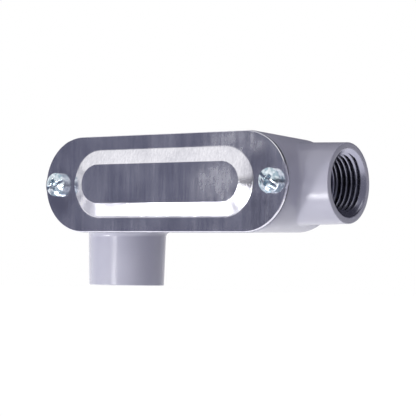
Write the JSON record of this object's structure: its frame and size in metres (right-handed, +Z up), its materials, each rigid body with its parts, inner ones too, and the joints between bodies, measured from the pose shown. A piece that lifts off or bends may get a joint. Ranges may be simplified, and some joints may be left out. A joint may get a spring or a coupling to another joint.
{
  "type": "conduit body",
  "caption": "Oblong cast conduit body with a threaded hub on its end and one on its side, and a raised-panel sheet cover held by screws.",
  "frame": {"origin": "on the side hub's axis, where its thread starts at the foot of the countersink", "axes": "+X along the housing towards the end hub, +Y back from the cover, +Z up from the side hub's mouth to the housing"},
  "size_m": [0.1135, 0.0395, 0.0523],
  "materials": {
    "painted_casting": "light grey baked enamel on an aluminium casting",
    "cover_sheet": "bright rolled sheet with a faint grain",
    "gasket_rubber": "grey gasket sheet",
    "plated_screw": "bright zinc plate, slightly blue"
  },
  "bodies": {
    "root": {"body": "painted_casting", "cover": "cover_sheet", "gasket": "gasket_rubber", "cover_screw_left": "plated_screw", "cover_screw_right": "plated_screw"}
  },
  "joints": []
}
